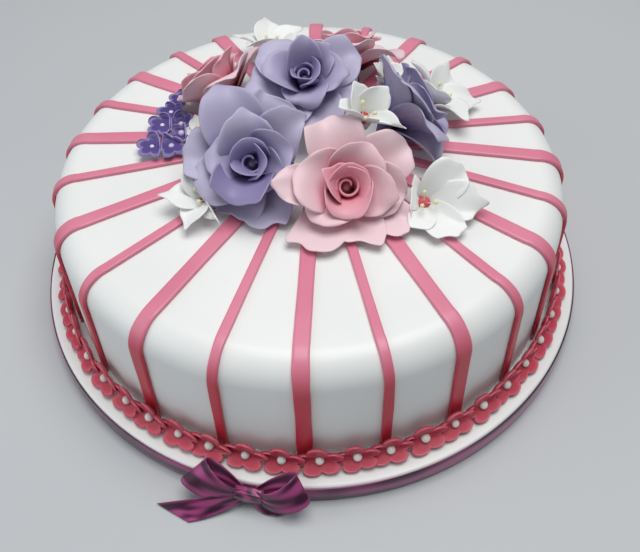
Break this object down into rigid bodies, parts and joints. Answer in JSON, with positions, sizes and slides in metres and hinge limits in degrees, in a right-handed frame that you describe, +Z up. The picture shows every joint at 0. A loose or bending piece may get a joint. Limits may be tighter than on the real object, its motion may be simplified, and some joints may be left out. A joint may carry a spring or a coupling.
{
  "type": "decorated wedding cake",
  "caption": "Round single-tier iced cake with laid strips, a blossom border and a spray of sugar roses, on its ribboned board.",
  "frame": {"origin": "centre of the board's underside, on the table", "axes": "+Z up, -Y towards the front, where the bow and the front rose are, +X to the right seen from the front"},
  "size_m": [0.3054, 0.3152, 0.1373],
  "materials": {
    "icing": "satin sugar paste",
    "foil": "embossed silver foil",
    "ribbon": "plum satin ribbon",
    "strip": "rose pink sugar paste",
    "border": "coral pink sugar paste",
    "pink": "pale pink flower paste",
    "purple": "lavender flower paste",
    "violet": "violet flower paste",
    "white": "white flower paste"
  },
  "bodies": {
    "root": {"board_drum": "foil", "board_icing": "icing", "board_ribbon": "ribbon", "ribbon_bow": "ribbon", "iced_cake": "icing", "blossom_border": "border", "strip_01": "strip", "strip_02": "strip", "strip_03": "strip", "strip_04": "strip", "strip_05": "strip", "strip_06": "strip", "strip_07": "strip", "strip_08": "strip", "strip_09": "strip", "strip_10": "strip", "strip_11": "strip", "strip_12": "strip", "strip_13": "strip", "strip_14": "strip", "strip_15": "strip", "strip_16": "strip", "strip_17": "strip", "strip_18": "strip", "strip_19": "strip", "strip_20": "strip", "strip_21": "strip", "strip_22": "strip", "strip_23": "strip", "strip_24": "strip", "rose_pink_front": "pink", "rose_pink_left": "pink", "rose_pink_back": "pink", "rose_purple_left": "purple", "rose_purple_top": "purple", "rose_purple_right": "purple", "star_right": "white", "star_left": "white", "star_back_right": "white", "star_back_left": "white", "star_small_left": "white", "cup_middle": "white", "cup_right": "white", "blossom_1": "violet", "blossom_2": "violet", "blossom_3": "violet", "blossom_4": "violet", "blossom_5": "violet", "blossom_6": "violet", "blossom_7": "violet"}
  },
  "joints": []
}
